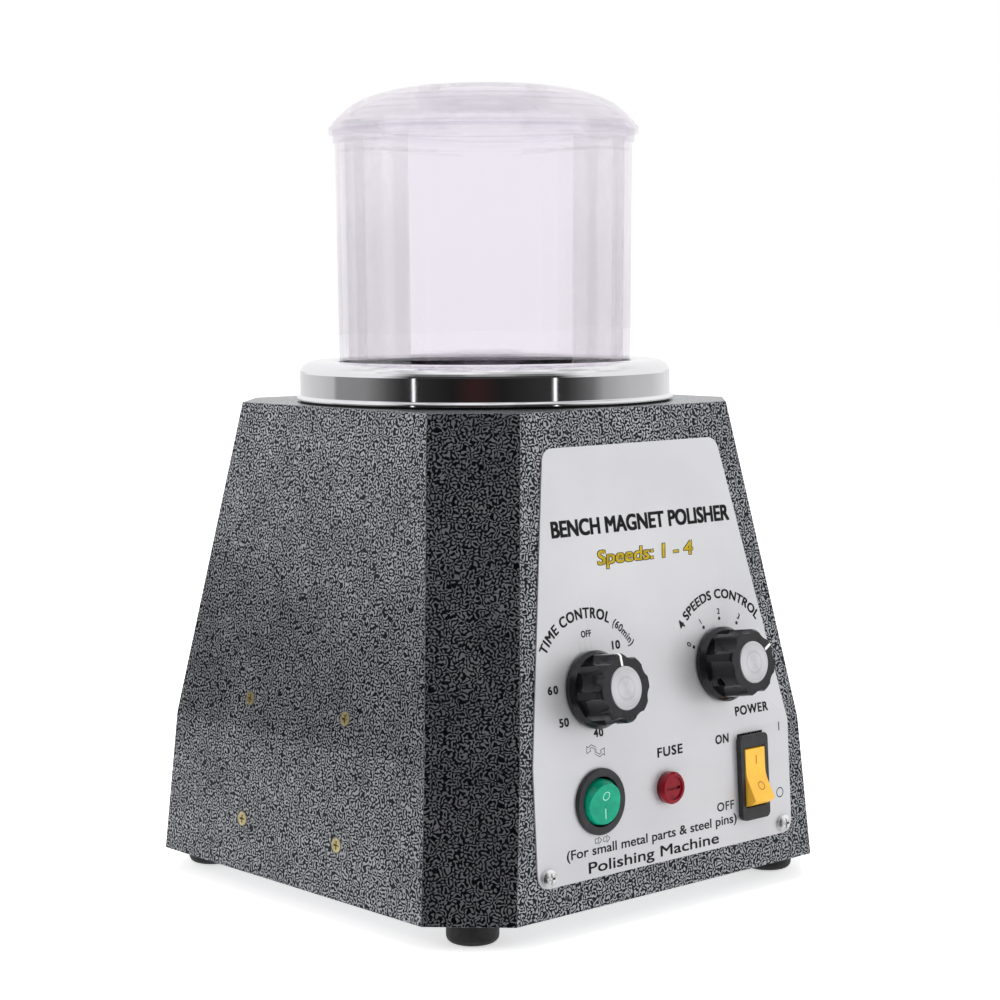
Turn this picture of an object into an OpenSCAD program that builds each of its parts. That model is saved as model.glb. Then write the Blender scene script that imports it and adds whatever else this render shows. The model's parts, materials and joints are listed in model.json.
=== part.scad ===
// Bench-top magnetic tumbler: a sheet-steel housing with a motor-driven magnet rotor
// under its deck, and a clear lidded container that lifts out of a chromed ring on top.
// +Z is up, -Y is the control panel's side, and z = 0 is the surface under the feet.

/* [Housing] */
// Width of the housing at its bottom edge
base_w = 176.5; // [172:0.5:182]
// Depth of the housing at its bottom edge
base_d = 179; // [175:0.5:185]
// Width at the bend between the skirt and the sloping walls
bend_w = 168.5; // [164:0.5:172]
// Depth at the bend
bend_d = 173.5; // [170:0.5:175]
// Width of the flat top
top_w = 134.5; // [132:0.5:140]
// Depth of the flat top
top_d = 138; // [136:0.5:142]
// How far each corner chamfer runs along the walls
corner_cut = 20.5; // [18:0.5:22]
// Height of the skirt below the bend
skirt_h = 47.5; // [46:0.5:52]
// Height of the housing from its bottom edge to its flat top
housing_h = 154.5; // [152:0.5:160]
// Thickness of the sheet steel
sheet_t = 1.2; // [1:0.1:1.5]

/* [Feet] */
// Height of the rubber feet
foot_h = 8; // [6:0.5:12]
// Radius of a foot
foot_r = 8.3; // [7.5:0.1:9]
// Distance of the feet from the middle plane, sideways
foot_x = 68; // [66:0.5:70]
// Distance of the feet from the middle plane, front to back
foot_y = 69.5; // [67:0.5:71]

/* [Container] */
// Outer radius of the container at its floor
cup_r_low = 49.7; // [48.5:0.1:50]
// Outer radius of the container below its collar
cup_r_high = 50.5; // [50:0.1:51]
// Height of the container
cup_h = 90.6; // [80:0.1:100]
// Radius of the facets' edges inside, at the floor
facet_r_low = 47.3; // [45:0.1:47.4]
// Radius of the facets' edges inside, at the top
facet_r_high = 48.2; // [47.5:0.1:48.5]
// Number of flat facets round the inner wall
facets = 16; // [14:1:20]
// Height of the lid above the container's top edge
lid_h = 14.3; // [12:0.1:20]

/* [Ring] */
// Outer radius of the ring's foot flange
ring_r = 64.5; // [62:0.1:65]
// Radius of the ring's bore
ring_bore_r = 51.4; // [51:0.1:52]
// Height of the ring
ring_h = 13; // [11:0.5:15]

/* [Panel] */
// Half the panel's width at the bend
panel_x = 58.3; // [57:0.1:60]
// Half the panel's width at its top edge
panel_top_x = 40.1; // [38:0.1:42]
// Length of the panel above the bend, along the slope
panel_up = 96.8; // [94:0.2:98]
// Length of the panel below the bend, along the skirt
panel_down = 38; // [36:0.2:40]
// Distance of the timer's knob from the middle plane
timer_x = 29.3; // [28:0.1:31]
// Height of the timer's knob above the bend, along the slope
timer_s = 20.4; // [19:0.1:24]
// Distance of the speed knob from the middle plane
speed_x = 29.4; // [28:0.1:31]
// Height of the speed knob above the bend, along the slope
speed_s = 21.8; // [19:0.1:24]
// Height of a knob
knob_h = 14.1; // [13:0.1:18]

/* [Placement] */
// How far the housing's middle lies behind the origin
origin_y = 4; // [0:0.5:8]

/* [Hidden] */
$fn = 64;
// Rounding of a foot's lower edge
foot_round = 2.2;
// Panel, holes and fittings
panel_t = 0.5;
// The panel and its fittings sit a little to the left of the middle
panel_dx = -0.3;
panel_corner = 4.5;
panel_screw = [54, -34.7];
bush_r = 4.8;
shaft_r = 3;
running_gap = 0.05;
knob_gap = 0.4;
grub_z = 7.5;
cap_r = 6.8;
cap_seat = 0.7;
// Turn of each knob's pointer from straight up the panel, anticlockwise
timer_turn = 5;
speed_turn = -60;
// Each rocker tilts this far to either side of level about a pivot below its frame's face
power_angle = 12.8;
direction_angle = 7.5;
pivot_drop = 2.5;
// Height of the middle of each rocker's face above its pivot
power_face = 3;
direction_face = 3.7;
// Power switch, direction switch and fuse holder, as [x, distance above the bend] on the skirt
power_at = [39.2, -16.6];
power_frame = [13.3, 28.3];
power_frame_t = 2;
power_body = [12.2, 24.8, 19];
power_rocker_w = 9.3;
power_rocker_r = 9.8;
direction_at = [-30.9, -14.4];
direction_frame_r = 10.5;
direction_frame_t = 1.2;
direction_body_r = 9.4;
direction_rocker_r = 7.3;
fuse_at = [-0.3, -14.5];
fuse_barrel_r = 4.6;
fuse_bore_r = 4.05;
// Width of the flange inside the shell's bottom edge
flange_w = 23;
// Levels
bend_z = foot_h + skirt_h;
top_z = foot_h + housing_h;
deck_t = 0.8;
deck_z = top_z + deck_t;
deck_r = 53;
deck_hole_r = 50.5;
cup_top = deck_z + cup_h;
cup_turn = -4.5;
cup_floor_t = 3;
cup_collar = 3.1;
cup_collar_r = cup_r_high + 0.9;
mouth_r = facet_r_high + 0.5;
// Rotor and motor under the deck
post_xy = 40;
post_r = 4;
bracket_z = 128;
bracket_t = 3;
motor_r = 30;
motor_top = bracket_z;
motor_bottom = 60;
cap_t = 6;
motor_shaft_r = 4;
rotor_z = 154;
rotor_t = 6;
rotor_r = 44;
magnet_r = 9.5;
magnet_ring_r = 31;
magnets_n = 6;
// Board behind the left wall
board_x = -69;
board_t = 1.6;
side_screw_y = 25.4;
side_screw_low = -30.3;
side_screw_high = 10;
standoff_r = 4;
// Mains inlet on the rear skirt
inlet_x = 36;
inlet_s = -24;
// Slopes of the four walls
slope = atan((bend_d - top_d) / 2 / (housing_h - skirt_h));
skirt_slope = atan((base_d - bend_d) / 2 / skirt_h);
side_slope = atan((bend_w - top_w) / 2 / (housing_h - skirt_h));
side_skirt_slope = atan((base_w - bend_w) / 2 / skirt_h);

// ---------- helpers ----------

// Everything is drawn about the housing's middle and then set back from the origin.
module placed() translate([0, origin_y, 0]) children();

// Children on the sloping front wall: x to the right, y up the slope from the bend, z outwards.
module on_slope(x, s)
    translate([panel_dx, -bend_d / 2, bend_z])
        rotate([90 - slope, 0, 0]) translate([x, s, 0]) children();

// The same on the front skirt, where s is negative below the bend.
module on_skirt(x, s)
    translate([panel_dx, -bend_d / 2, bend_z])
        rotate([90 - skirt_slope, 0, 0]) translate([x, s, 0]) children();

// The same on the rear skirt, seen from behind.
module on_rear_skirt(x, s) mirror([0, 1, 0]) on_skirt(x, s) children();

// On the left wall, above and below the bend: y runs front to back, s up the wall, z outwards.
module on_left_wall(y, s, tilt)
    translate([-bend_w / 2, 0, bend_z]) rotate([0, tilt, 0]) rotate([0, -90, 0])
        translate([s, y, 0]) children();

module at_side_screws() {
    for (side = [-1, 1]) {
        on_left_wall(side * side_screw_y, side_screw_high, side_slope) children();
        on_left_wall(side * side_screw_y, side_screw_low, side_skirt_slope) children();
    }
}

module at_feet() {
    for (x = [-foot_x, foot_x], y = [-foot_y, foot_y]) translate([x, y, 0]) children();
}

module at_posts() {
    for (x = [-post_xy, post_xy], y = [-post_xy, post_xy]) translate([x, y, 0]) children();
}

module at_motor_screws() {
    for (a = [45:90:315]) rotate(a) translate([19, 0, 0]) children();
}

module at_magnets() {
    for (i = [0:magnets_n - 1]) rotate(i * 360 / magnets_n) translate([magnet_ring_r, 0, 0])
        children();
}

module at_panel_screws() {
    for (side = [-1, 1]) on_skirt(side * panel_screw.x, panel_screw.y) children();
}

// Corner points of an octagon with sides w and d, whose corners are cut by c.
function octagon(w, d, c) = [
    [w / 2 - c, -d / 2], [w / 2, -d / 2 + c], [w / 2, d / 2 - c], [w / 2 - c, d / 2],
    [-w / 2 + c, d / 2], [-w / 2, d / 2 - c], [-w / 2, -d / 2 + c], [-w / 2 + c, -d / 2]];

// A solid between two outlines that have the same number of points.
module loft(low, high, z0, z1) {
    n = len(low);
    polyhedron(
        points = concat([for (p = low) [p.x, p.y, z0]], [for (p = high) [p.x, p.y, z1]]),
        faces = concat([[for (i = [0:n - 1]) i]], [[for (i = [n - 1:-1:0]) n + i]],
            [for (i = [0:n - 1]) [i, n + i, n + (i + 1) % n, (i + 1) % n]]));
}

// The octagonal body up to z1, drawn in from its outer surface by inset.
module body_form(inset, z0, z1) {
    cut = corner_cut - 0.586 * inset;
    rise = (z1 - bend_z) / (top_z - bend_z);
    low = octagon(base_w - 2 * inset, base_d - 2 * inset, cut);
    mid = octagon(bend_w - 2 * inset, bend_d - 2 * inset, cut);
    high = octagon(bend_w + (top_w - bend_w) * rise - 2 * inset,
        bend_d + (top_d - bend_d) * rise - 2 * inset, cut);
    loft(low, mid, z0, bend_z);
    loft(mid, high, bend_z, z1);
}

// A pan head with a cross recess, its seat at z = 0, and a shank below it.
module pan_screw(head_r, head_h, shank_r, length) {
    difference() {
        union() {
            intersection() {
                translate([0, 0, head_h - 2 * head_r]) sphere(r = 2 * head_r);
                cylinder(r = head_r, h = head_h);
            }
            translate([0, 0, -length]) cylinder(r = shank_r, h = length + 0.2);
        }
        for (a = [0, 90]) rotate(a)
            translate([-head_r * 0.6, -head_r * 0.13, head_h * 0.45])
                cube([head_r * 1.2, head_r * 0.26, head_h]);
    }
}

// A flat countersunk screw whose top is at z = 0.
module flat_screw(head_r, shank_r, length) {
    difference() {
        union() {
            translate([0, 0, shank_r - head_r])
                cylinder(r1 = shank_r, r2 = head_r, h = head_r - shank_r);
            translate([0, 0, -length]) cylinder(r = shank_r, h = length - 0.2);
        }
        for (a = [0, 90]) rotate(a) translate([-head_r * 0.6, -head_r * 0.12, -0.7])
            cube([head_r * 1.2, head_r * 0.24, 1]);
    }
}

module hex(r, h) cylinder(r = r, h = h, $fn = 6);

module rounded_rect(w, d, r) {
    hull() for (x = [-1, 1], y = [-1, 1])
        translate([x * (w / 2 - r), y * (d / 2 - r)]) circle(r = r, $fn = 32);
}

// ---------- housing ----------

// Every opening that the front fittings need, through the sheet and the panel.
module front_openings() {
    on_timer() translate([0, 0, -5]) cylinder(r = bush_r + 0.1, h = 10);
    on_speed() translate([0, 0, -5]) cylinder(r = bush_r + 0.1, h = 10);
    // the power switch's opening is a little too long, and shows above its frame
    on_skirt(power_at.x, power_at.y) translate([-power_body.x / 2 - 0.1, -power_body.y / 2 - 0.1, -5])
        cube([power_body.x + 0.2, power_body.y / 2 + power_frame.y / 2 + 0.6, 10]);
    on_skirt(direction_at.x, direction_at.y) translate([0, 0, -5])
        cylinder(r = direction_body_r + 0.15, h = 10);
    on_skirt(fuse_at.x, fuse_at.y) translate([0, 0, -5]) cylinder(r = fuse_barrel_r + 0.15, h = 10);
    at_panel_screws() translate([0, 0, -5]) cylinder(r = 1.35, h = 10);
}

module rear_slots() {
    for (i = [-4:4]) mirror([0, 1, 0]) on_slope(i * 9, 42) translate([-1.75, -22, -5])
        cube([3.5, 44, 10]);
}

// Inward flange at the bottom of the shell, which the base plate and the feet are screwed to.
module bottom_flange() difference() {
    translate([-base_w, -base_d, foot_h + sheet_t]) cube([2 * base_w, 2 * base_d, sheet_t]);
    linear_extrude(height = 40)
        polygon(octagon(base_w - 2 * flange_w, base_d - 2 * flange_w, corner_cut + 4));
}

module housing_shell() color("dimgray") placed() difference() {
    body_form(0, foot_h, top_z);
    difference() {
        body_form(sheet_t, foot_h - 0.001, top_z - sheet_t);
        bottom_flange();
    }
    translate([0, 0, top_z - 5]) cylinder(r = deck_hole_r, h = 10, $fn = 128);
    at_posts() translate([0, 0, top_z - 5]) cylinder(r = 2.15, h = 10);
    at_feet() cylinder(r = 2.2, h = foot_h + 5);
    at_side_screws() translate([0, 0, -5]) cylinder(r = 1.6, h = 4);
    at_side_screws() translate([0, 0, -sheet_t]) cylinder(r1 = 1.45, r2 = 2.45, h = sheet_t + 0.001);
    front_openings();
    rear_slots();
    on_rear_skirt(inlet_x, inlet_s) {
        translate([-14, -10.3, -5]) cube([28, 20.6, 10]);
        for (x = [-20, 20]) translate([x, 0, -5]) cylinder(r = 1.7, h = 10);
    }
}

module base_plate() color("darkgray") placed() difference() {
    translate([0, 0, foot_h]) linear_extrude(height = sheet_t)
        polygon(octagon(base_w - 2 * sheet_t - 0.8, base_d - 2 * sheet_t - 0.8, corner_cut));
    at_feet() cylinder(r = 2.2, h = 20);
    for (a = [0:30:330]) rotate(a) translate([24, -2, 0]) cube([20, 4, 20]);
}

module rubber_feet() color("black") placed() at_feet() rotate_extrude() polygon(concat(
    [[2.2, 4], [2.2, foot_h], [foot_r, foot_h], [foot_r, foot_round]],
    [for (a = [15:15:90]) [foot_r - foot_round * (1 - cos(a)), foot_round * (1 - sin(a))]],
    [[4, 0], [4, 4]]));

module foot_screws() color("silver") placed() at_feet() mirror([0, 0, 1])
    translate([0, 0, -4]) pan_screw(3.6, 2.4, 2, foot_h + 4);

module foot_nuts() color("silver") placed() at_feet()
    translate([0, 0, foot_h + 2 * sheet_t]) difference() {
        hex(4.04, 3.2);
        translate([0, 0, -1]) cylinder(r = 2.02, h = 6);
    }

// ---------- control panel ----------

module panel_upper_outline() {
    r = panel_corner;
    hull() {
        translate([-panel_x, 0]) square([2 * panel_x, 0.01]);
        for (side = [-1, 1]) translate([side * (panel_top_x - r), panel_up - r]) circle(r = r, $fn = 32);
    }
}

module panel_lower_outline() {
    r = panel_corner;
    hull() {
        translate([-panel_x, -0.01]) square([2 * panel_x, 0.01]);
        for (side = [-1, 1]) translate([side * (panel_x - r), -panel_down + r]) circle(r = r, $fn = 32);
    }
}

module control_panel() color("gainsboro") placed() difference() {
    union() {
        intersection() {
            on_slope(0, 0) linear_extrude(height = panel_t) union() {
                panel_upper_outline();
                translate([-panel_x, -1]) square([2 * panel_x, 1.01]);
            }
            translate([-200, -200, bend_z]) cube([400, 400, 200]);
        }
        intersection() {
            on_skirt(0, 0) linear_extrude(height = panel_t) union() {
                panel_lower_outline();
                translate([-panel_x, -0.01]) square([2 * panel_x, 1]);
            }
            translate([-200, -200, bend_z - 200]) cube([400, 400, 200]);
        }
    }
    front_openings();
}

module panel_screws() color("silver") placed() at_panel_screws()
    translate([0, 0, panel_t]) pan_screw(2.8, 1.7, 1.3, 6);

// ---------- ring and deck ----------

module locating_ring() color("silver") placed() difference() {
    band_r = ring_r - 1.2;
    band_h = 9;
    land_r = 57.8;
    translate([0, 0, deck_z]) rotate_extrude($fn = 128) polygon(concat(
        [[ring_bore_r, 0], [ring_r, 0], [ring_r, 0.4]],
        [for (a = [15:15:90]) [band_r + 1.2 * cos(a), 0.4 + 1.1 * sin(a)]],
        [[band_r, band_h]],
        [for (a = [10:10:80]) [land_r + (band_r - land_r) * cos(a), band_h + (ring_h - band_h) * sin(a)]],
        [[land_r, ring_h], [ring_bore_r + 0.8, ring_h], [ring_bore_r, ring_h - 0.8]]));
    at_posts() translate([0, 0, deck_z - 1]) cylinder(r = 2.02, h = 9);
}

module ring_gasket() color("black") placed() difference() {
    translate([0, 0, top_z]) cylinder(r = ring_r - 1.3, h = deck_t, $fn = 128);
    translate([0, 0, top_z - 1]) cylinder(r = deck_r + 0.2, h = 5, $fn = 128);
    at_posts() translate([0, 0, top_z - 1]) cylinder(r = 2.15, h = 5);
}

module deck_plate() color("whitesmoke") placed()
    translate([0, 0, top_z]) cylinder(r = deck_r, h = deck_t, $fn = 128);

module ring_studs() color("silver") placed() at_posts()
    translate([0, 0, top_z - 12]) cylinder(r = 2, h = 12 + deck_t + 7);

// ---------- container and lid ----------

function facet_ring(r) = [for (i = [0:facets - 1]) [r * cos(i * 360 / facets), r * sin(i * 360 / facets)]];

module container() color([0.93, 0.9, 0.97, 0.4]) placed() difference() {
    translate([0, 0, deck_z]) rotate_extrude($fn = 128) polygon([
        [0, 0.8], [cup_r_low - 5, 0.8], [cup_r_low - 4.2, 0], [cup_r_low - 1.2, 0], [cup_r_low, 1.2],
        [cup_r_high, cup_h - cup_collar - 1.6], [cup_collar_r, cup_h - cup_collar - 0.4],
        [cup_collar_r, cup_h], [0, cup_h]]);
    rotate(cup_turn) loft(facet_ring(facet_r_low), facet_ring(facet_r_high),
        deck_z + cup_floor_t, cup_top - cup_collar);
    translate([0, 0, cup_top - cup_collar - 0.01]) cylinder(r = mouth_r, h = 10, $fn = 128);
}

module lid() color([0.95, 0.93, 0.98, 0.4]) placed() {
    rim_r = cup_collar_r + 1.3;
    skirt_r = cup_collar_r + 0.4;
    skirt_h = 1.1;
    wall = 1.8;
    well_r = 21;
    well_z = lid_h - 4.6;
    step_r = 12.2;
    step_z = well_z - 1.6;
    translate([0, 0, cup_top]) rotate_extrude($fn = 128) polygon(concat(
        [[mouth_r, 0], [skirt_r, 0], [skirt_r, -skirt_h], [rim_r, -skirt_h], [rim_r, 0.9]],
        [[rim_r - 0.5, 1.3], [50.6, 3.4], [47.7, 6.3], [44.6, 8.6], [40.9, 10.5], [36.3, 12.1]],
        [[31, 13.4], [25.5, lid_h], [well_r + 1.6, lid_h], [well_r + 0.2, lid_h - 1]],
        [[well_r - 0.2, well_z], [step_r, well_z], [step_r - 0.6, step_z], [0, step_z]],
        [[0, step_z - wall], [step_r + 0.2, step_z - wall], [step_r + 0.8, well_z - wall]],
        [[well_r + 0.8, well_z - wall], [well_r + 2.2, lid_h - wall], [25.2, lid_h - wall]],
        [[30.4, 11.6], [35.4, 10.4], [39.8, 8.8], [43.1, 7.1], [45.9, 5.1], [48.4, 2.8], [48.9, 1.4]]));
}

// ---------- knobs ----------

// A turned and fluted knob, its foot at z = 0, its pointer lobe along +Y.
module knob(turn) {
    body_r = 11;
    flange_r = 12.3;
    rotate(turn) difference() {
        union() {
            cylinder(r = flange_r, h = 1.6);
            translate([0, 0, 1.6]) cylinder(r1 = flange_r, r2 = body_r, h = 2);
            translate([0, 0, 3.5]) cylinder(r1 = body_r, r2 = body_r - 0.2, h = knob_h - 4.3);
            translate([0, 0, knob_h - 0.8]) cylinder(r1 = body_r - 0.2, r2 = body_r - 0.9, h = 0.8);
        }
        for (i = [0:7]) rotate(22.5 + i * 45) translate([0, 14.3, 3.2]) cylinder(r = 4.9, h = knob_h);
        translate([0, 0, -1]) cylinder(r = 8.8, h = 4.2);
        translate([0, 0, -1]) cylinder(r = shaft_r + 0.02, h = knob_h - 3);
        translate([0, 0, grub_z]) rotate([90, 0, 0]) cylinder(r = 1.55, h = 20);
        translate([0, 0, knob_h - cap_seat]) cylinder(r = cap_r + 0.05, h = 2);
    }
}

module knob_cap(turn) rotate(turn) translate([0, 0, knob_h - cap_seat]) union() {
    cylinder(r = cap_r, h = cap_seat);
    translate([0, 0, cap_seat]) cylinder(r1 = cap_r, r2 = cap_r - 0.3, h = 0.2);
}

module grub_screw(turn) rotate(turn) translate([0, 0, grub_z]) rotate([90, 0, 0])
    translate([0, 0, shaft_r + 0.02]) difference() {
        cylinder(r = 1.5, h = 4);
        translate([0, 0, 2.6]) hex(0.8, 2);
    }

module knob_shaft() translate([0, 0, -9]) cylinder(r = shaft_r, h = knob_h - 4 + 9);

// Panel nut round a threaded bush.
module bush_nut() difference() {
    hex(7.4, 1.9);
    translate([0, 0, -1]) cylinder(r = bush_r + 0.02, h = 4);
}

// Threaded bush that reaches from behind the sheet through the panel.
module bush() difference() {
    translate([0, 0, -sheet_t]) cylinder(r = bush_r, h = sheet_t + panel_t + 2.2);
    translate([0, 0, -20]) cylinder(r = shaft_r + running_gap, h = 40);
}

module on_timer() on_slope(-timer_x, timer_s) children();
module on_speed() on_slope(speed_x, speed_s) children();

module timer_module() color("tan") placed() on_timer() union() {
    bush();
    difference() {
        translate([-22, -20, -sheet_t - 30]) cube([44, 40, 30]);
        translate([0, 0, -12]) cylinder(r = shaft_r + running_gap, h = 20);
    }
}

module timer_nut() color("silver") placed() on_timer() translate([0, 0, panel_t]) bush_nut();
module timer_shaft() color("silver") placed() on_timer() translate([0, 0, panel_t + knob_gap])
    knob_shaft();
module timer_knob() color("#1c1c1f") placed() on_timer() translate([0, 0, panel_t + knob_gap])
    knob(timer_turn);
module timer_knob_cap() color("lightgray") placed() on_timer()
    translate([0, 0, panel_t + knob_gap]) knob_cap(timer_turn);
module timer_grub_screw() color("gray") placed() on_timer()
    translate([0, 0, panel_t + knob_gap]) grub_screw(timer_turn);

module speed_switch() color("darkslategray") placed() on_speed() union() {
    bush();
    difference() {
        translate([0, 0, -sheet_t - 20]) cylinder(r = 13, h = 20);
        translate([0, 0, -12]) cylinder(r = shaft_r + running_gap, h = 20);
    }
}

module speed_nut() color("silver") placed() on_speed() translate([0, 0, panel_t]) bush_nut();
module speed_shaft() color("silver") placed() on_speed() translate([0, 0, panel_t + knob_gap])
    knob_shaft();
module speed_knob() color("#1c1c1f") placed() on_speed() translate([0, 0, panel_t + knob_gap])
    knob(speed_turn);
module speed_knob_cap() color("lightgray") placed() on_speed()
    translate([0, 0, panel_t + knob_gap]) knob_cap(speed_turn);
module speed_grub_screw() color("gray") placed() on_speed()
    translate([0, 0, panel_t + knob_gap]) grub_screw(speed_turn);

// ---------- rocker switches and fuse ----------

// Side outline of a rocker about its pivot: two faces in a shallow V that meet in a curve.
module rocker_outline(r, angle, face, bottom) {
    curve = 9;
    reach = 2 * r;
    rise = face + curve * (1 - cos(angle)) + (reach - curve * sin(angle)) * tan(angle);
    intersection() {
        circle(r = r, $fn = 96);
        polygon(concat([[-reach, rise], [-reach, -bottom], [reach, -bottom], [reach, rise]],
            [for (a = [angle:-angle / 4:-angle]) [curve * sin(a), face + curve * (1 - cos(a))]]));
    }
}

// The same outline as a solid of width w, its pivot along X, tilted by turn.
module rocker_solid(r, w, angle, face, bottom, turn)
    rotate([turn, 0, 0]) rotate([90, 0, 90]) translate([0, 0, -w / 2]) linear_extrude(height = w)
        rocker_outline(r, angle, face, bottom);

module power_switch_body() color("#222226") placed() on_skirt(power_at.x, power_at.y) difference() {
    front = panel_t + power_frame_t;
    union() {
        translate([0, 0, panel_t]) linear_extrude(height = power_frame_t)
            rounded_rect(power_frame.x, power_frame.y, 1.9);
        translate([-power_body.x / 2, -power_body.y / 2, -power_body.z])
            cube([power_body.x, power_body.y, power_body.z + panel_t + 0.5]);
    }
    translate([-power_rocker_w / 2 - 0.3, -power_rocker_r - 0.2, front - 9.5])
        cube([power_rocker_w + 0.6, 2 * power_rocker_r + 0.4, 20]);
    translate([-power_rocker_w / 2 - 1.2, 0, front - pivot_drop]) rotate([0, 90, 0])
        cylinder(r = 1.15, h = power_rocker_w + 2.4);
}

module power_rocker() color("#f6bf3c") placed() on_skirt(power_at.x, power_at.y)
    translate([0, 0, panel_t + power_frame_t - pivot_drop]) union() {
        rocker_solid(power_rocker_r, power_rocker_w, power_angle, power_face, 4, -power_angle);
        translate([-power_rocker_w / 2 - 0.9, 0, 0]) rotate([0, 90, 0])
            cylinder(r = 1.1, h = power_rocker_w + 1.8);
    }

module direction_switch_body() color("#222226") placed() on_skirt(direction_at.x, direction_at.y)
    difference() {
        front = panel_t + direction_frame_t;
        well_r = direction_rocker_r + 0.65;
        union() {
            translate([0, 0, panel_t]) cylinder(r = direction_frame_r, h = direction_frame_t - 0.4);
            translate([0, 0, front - 0.4])
                cylinder(r1 = direction_frame_r, r2 = direction_frame_r - 0.5, h = 0.4);
            translate([0, 0, -17]) cylinder(r = direction_body_r, h = 17 + panel_t + 0.3);
        }
        translate([0, 0, front - 9]) cylinder(r = well_r, h = 20);
        translate([-direction_rocker_r - 1, 0, front - pivot_drop]) rotate([0, 90, 0])
            cylinder(r = 1.05, h = 2 * direction_rocker_r + 2);
    }

module direction_rocker() color("#1f9f74") placed() on_skirt(direction_at.x, direction_at.y)
    translate([0, 0, panel_t + direction_frame_t - pivot_drop])
    rotate([direction_angle, 0, 0]) union() {
        intersection() {
            rocker_solid(direction_rocker_r + 2, 2 * direction_rocker_r + 2, direction_angle,
                direction_face, 2.2, 0);
            union() {
                translate([0, 0, -3]) cylinder(r = direction_rocker_r, h = 5);
                translate([0, 0, 2])
                    cylinder(r1 = direction_rocker_r, r2 = direction_rocker_r - 1.1, h = 3);
            }
        }
        translate([-direction_rocker_r - 0.8, 0, 0]) rotate([0, 90, 0])
            cylinder(r = 1, h = 2 * direction_rocker_r + 1.6);
    }

// Brass blades at the back of the two switches and the fuse holder.
module switch_terminals() color("goldenrod") placed() {
    on_skirt(power_at.x, power_at.y) for (x = [-3.5, 3.5], y = [-7, 0, 7])
        translate([x - 0.4, y - 2.4, -power_body.z - 8]) cube([0.8, 4.8, 8]);
    on_skirt(direction_at.x, direction_at.y) for (y = [-5, 0, 5])
        translate([-2.4, y - 0.4, -17 - 8]) cube([4.8, 0.8, 8]);
    on_skirt(fuse_at.x, fuse_at.y) translate([-1.5, -0.4, -30 - 7]) cube([3, 0.8, 7]);
}

module fuse_holder() color("#3a1519") placed() on_skirt(fuse_at.x, fuse_at.y) difference() {
    union() {
        translate([0, 0, -30]) cylinder(r = fuse_barrel_r, h = 30 + panel_t + 0.4);
        translate([0, 0, panel_t]) cylinder(r = 5.1, h = 0.7);
    }
    translate([0, 0, -28]) cylinder(r = fuse_bore_r, h = 60);
}

module fuse_nut() color("silver") placed() on_skirt(fuse_at.x, fuse_at.y)
    translate([0, 0, -sheet_t - 3]) difference() {
        hex(7.4, 3);
        translate([0, 0, -1]) cylinder(r = fuse_barrel_r + 0.02, h = 6);
    }

module fuse_cap() color("#a51d2d") placed() on_skirt(fuse_at.x, fuse_at.y)
    translate([0, 0, panel_t + 0.8]) difference() {
        union() {
            cylinder(r = 5.2, h = 1.5);
            translate([0, 0, 1.5]) cylinder(r1 = 5.2, r2 = 4.6, h = 0.7);
            translate([0, 0, -5]) cylinder(r = fuse_bore_r - 0.35, h = 5.1);
        }
        translate([0, 0, 1.7]) cylinder(r = 3.7, h = 2);
        translate([-3, -0.5, 1]) cube([6, 1, 2]);
        translate([0, 0, -6]) cylinder(r = 2.62, h = 4);
    }

module fuse() color("silver") placed() on_skirt(fuse_at.x, fuse_at.y)
    translate([0, 0, panel_t + 0.8 - 2 - 20]) cylinder(r = 2.6, h = 20);

// ---------- board behind the left wall ----------

module side_screws() color("#c9b458") placed() at_side_screws() flat_screw(2.3, 1.4, 8);

module board_standoffs() color("gold") placed() difference() {
    intersection() {
        for (y = [-side_screw_y, side_screw_y], z = [25.5, 65.4])
            translate([-95, y, z]) rotate([0, 90, 0]) cylinder(r = standoff_r, h = board_x + 95);
        body_form(sheet_t, foot_h, top_z - sheet_t);
    }
    at_side_screws() translate([0, 0, -9]) cylinder(r = 1.42, h = 9);
    for (y = [-side_screw_y, side_screw_y], z = [25.5, 65.4])
        translate([board_x - 4.5, y, z]) rotate([0, 90, 0]) cylinder(r = 1.42, h = 6);
}

module control_board() color("darkgreen") placed() difference() {
    translate([board_x, -36, 18]) cube([board_t, 72, 55]);
    for (y = [-side_screw_y, side_screw_y], z = [25.5, 65.4])
        translate([board_x - 1, y, z]) rotate([0, 90, 0]) cylinder(r = 1.6, h = 6);
}

module board_screws() color("silver") placed()
    for (y = [-side_screw_y, side_screw_y], z = [25.5, 65.4])
        translate([board_x + board_t, y, z]) rotate([0, 90, 0]) pan_screw(2.6, 1.6, 1.4, 5);

module board_heat_sink() color("lightgray") placed() translate([board_x + board_t, -18, 44]) union() {
    cube([3, 36, 16]);
    for (i = [0:6]) translate([3, i * 5.75, 0]) cube([12, 1.5, 16]);
}

module board_capacitors() color("navy") placed() for (y = [-30, 30])
    translate([board_x + board_t, y, 45]) rotate([0, 90, 0]) cylinder(r = 5, h = 20);

module board_transformer() color("orange") placed() translate([board_x + board_t, -14, 20])
    cube([18, 28, 20]);

// ---------- motor and rotor ----------

module bracket_posts() color("silver") placed() at_posts()
    translate([0, 0, bracket_z + bracket_t]) difference() {
        cylinder(r = post_r, h = top_z - sheet_t - bracket_z - bracket_t);
        translate([0, 0, -1]) cylinder(r = 2.02, h = 9);
        translate([0, 0, top_z - sheet_t - bracket_z - bracket_t - 11]) cylinder(r = 2.02, h = 20);
    }

module motor_bracket() color("slategray") placed() difference() {
    translate([0, 0, bracket_z]) linear_extrude(height = bracket_t) polygon(octagon(96, 96, 12));
    translate([0, 0, bracket_z - 1]) cylinder(r = 11, h = 10);
    at_posts() translate([0, 0, bracket_z - 1]) cylinder(r = 2.2, h = 10);
    at_motor_screws() translate([0, 0, bracket_z - 1]) cylinder(r = 2.1, h = 10);
}

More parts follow.
